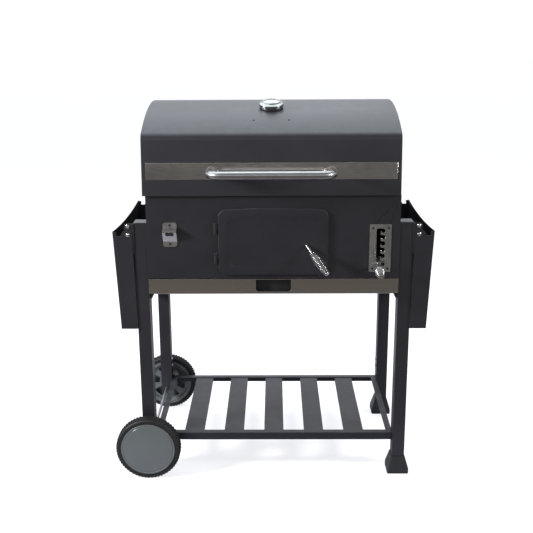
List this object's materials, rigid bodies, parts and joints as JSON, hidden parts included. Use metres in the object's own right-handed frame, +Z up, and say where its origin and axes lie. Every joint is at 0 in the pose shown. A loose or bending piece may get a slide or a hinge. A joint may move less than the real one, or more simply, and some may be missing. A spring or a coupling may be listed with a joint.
{
  "type": "charcoal grill trolley",
  "caption": "Charcoal grill trolley with hinged hood, coal door, adjustable charcoal tray, ash drawer, folding side shelves, slatted bottom shelf, wheels and feet.",
  "frame": {"origin": "middle of the bounding box, on the ground", "axes": "+X to the viewer's right when facing the coal door, +Y to the back, +Z up"},
  "size_m": [1.0104, 0.6881, 1.2096],
  "materials": {
    "paint": "textured satin charcoal powder coat",
    "slat_paint": "smooth satin charcoal powder coat",
    "plug_plastic": "moulded grey plastic",
    "foot_plastic": "moulded black plastic",
    "stainless": "brushed stainless steel",
    "handle_steel": "polished stainless tube",
    "chrome": "bright plated steel",
    "zinc": "zinc plated steel",
    "black_steel": "blackened steel",
    "enamel": "black vitreous enamel",
    "tyre": "black moulded tyre with block tread",
    "hub_plastic": "grey moulded plastic",
    "gasket": "black rubber",
    "dial": "white enamelled dial",
    "needle": "red painted needle",
    "lens": "clear glass"
  },
  "bodies": {
    "cart": {"front_left_leg": "paint", "rear_left_leg": "paint", "front_right_leg": "paint", "rear_right_leg": "paint", "leg_plugs": "plug_plastic", "feet": "foot_plastic", "shelf_long_rails": "slat_paint", "shelf_short_rails": "slat_paint", "shelf_slats": "slat_paint", "frame_bolts": "zinc", "firebox_front_panel": "paint", "firebox_back_panel": "paint", "firebox_left_panel": "paint", "firebox_right_panel": "paint", "drawer_runners": "paint", "grate_ledges": "paint", "cooking_grates": "enamel", "tray_rests": "paint", "height_plate": "stainless", "panel_screws": "black_steel", "bottle_opener": "stainless", "door_hinge_brackets": "paint", "shelf_brackets": "paint", "shelf_bolts": "chrome", "hood_hinge_brackets": "zinc", "wheel_axle": "zinc", "axle_nuts_and_spacers": "zinc"},
    "hood": {"hood_shell": "paint", "hood_left_end": "paint", "hood_right_end": "paint", "hood_strip": "stainless", "hood_handle": "handle_steel", "handle_screws": "zinc", "hood_hinge_straps": "zinc", "thermometer_gasket": "gasket", "thermometer_bezel": "chrome", "thermometer_dial": "dial", "thermometer_lens": "lens", "thermometer_probe": "zinc"},
    "needle": {"thermometer_needle": "needle"},
    "door": {"coal_door": "paint"},
    "latch": {"latch_rod": "chrome", "latch_grip": "chrome", "latch_cap": "chrome"},
    "drawer": {"ash_tray": "zinc", "drawer_front": "stainless", "drawer_pull": "foot_plastic"},
    "tray": {"charcoal_tray": "enamel", "lever_bracket": "zinc"},
    "lever": {"lever_rod": "chrome", "lever_grip": "chrome", "lever_cap": "chrome"},
    "left_shelf": {"left_side_shelf": "paint"},
    "right_shelf": {"right_side_shelf": "paint"},
    "front_wheel": {"front_tyre": "tyre", "front_hub": "hub_plastic", "front_hubcap": "hub_plastic"},
    "rear_wheel": {"rear_tyre": "tyre", "rear_hub": "hub_plastic", "rear_hubcap": "hub_plastic"}
  },
  "joints": [
    {"name": "hood_open", "type": "hinge", "parent": "cart", "child": "hood", "pos_m": [0.00475, 0.322, 0.935], "axis": [-1, 0, 0], "range_deg": [0, 85]},
    {"name": "needle_turn", "type": "hinge", "parent": "hood", "child": "needle", "pos_m": [0.00475, -0.023, 1.1821], "axis": [0, -0.2109, 0.9775], "range_deg": [-270, 0]},
    {"name": "door_swing", "type": "hinge", "parent": "cart", "child": "door", "pos_m": [-0.16875, -0.214, 0.785], "axis": [0, 0, -1], "range_deg": [0, 110]},
    {"name": "latch_turn", "type": "hinge", "parent": "door", "child": "latch", "pos_m": [0.11175, -0.214, 0.779], "axis": [0, -1, 0], "range_deg": [0, 90]},
    {"name": "drawer_slide", "type": "slide", "parent": "cart", "child": "drawer", "axis": [0, -1, 0], "range_m": [0, 0.4]},
    {"name": "tray_lift", "type": "slide", "parent": "cart", "child": "tray", "axis": [0, 0, 1], "range_m": [0, 0.1098]},
    {"name": "lever_shift", "type": "slide", "parent": "tray", "child": "lever", "axis": [1, 0, 0], "range_m": [0, 0.014]},
    {"name": "left_shelf_fold", "type": "hinge", "parent": "cart", "child": "left_shelf", "pos_m": [-0.43865, 0.046, 0.8128], "axis": [0, 1, 0], "range_deg": [0, 92]},
    {"name": "right_shelf_fold", "type": "hinge", "parent": "cart", "child": "right_shelf", "pos_m": [0.45815, 0.046, 0.8128], "axis": [0, -1, 0], "range_deg": [0, 92]},
    {"name": "front_wheel_spin", "type": "hinge", "parent": "cart", "child": "front_wheel", "pos_m": [-0.40025, -0.2305, 0.105], "axis": [0, 1, 0], "continuous": true},
    {"name": "rear_wheel_spin", "type": "hinge", "parent": "cart", "child": "rear_wheel", "pos_m": [-0.40025, 0.3225, 0.105], "axis": [0, 1, 0], "continuous": true}
  ]
}
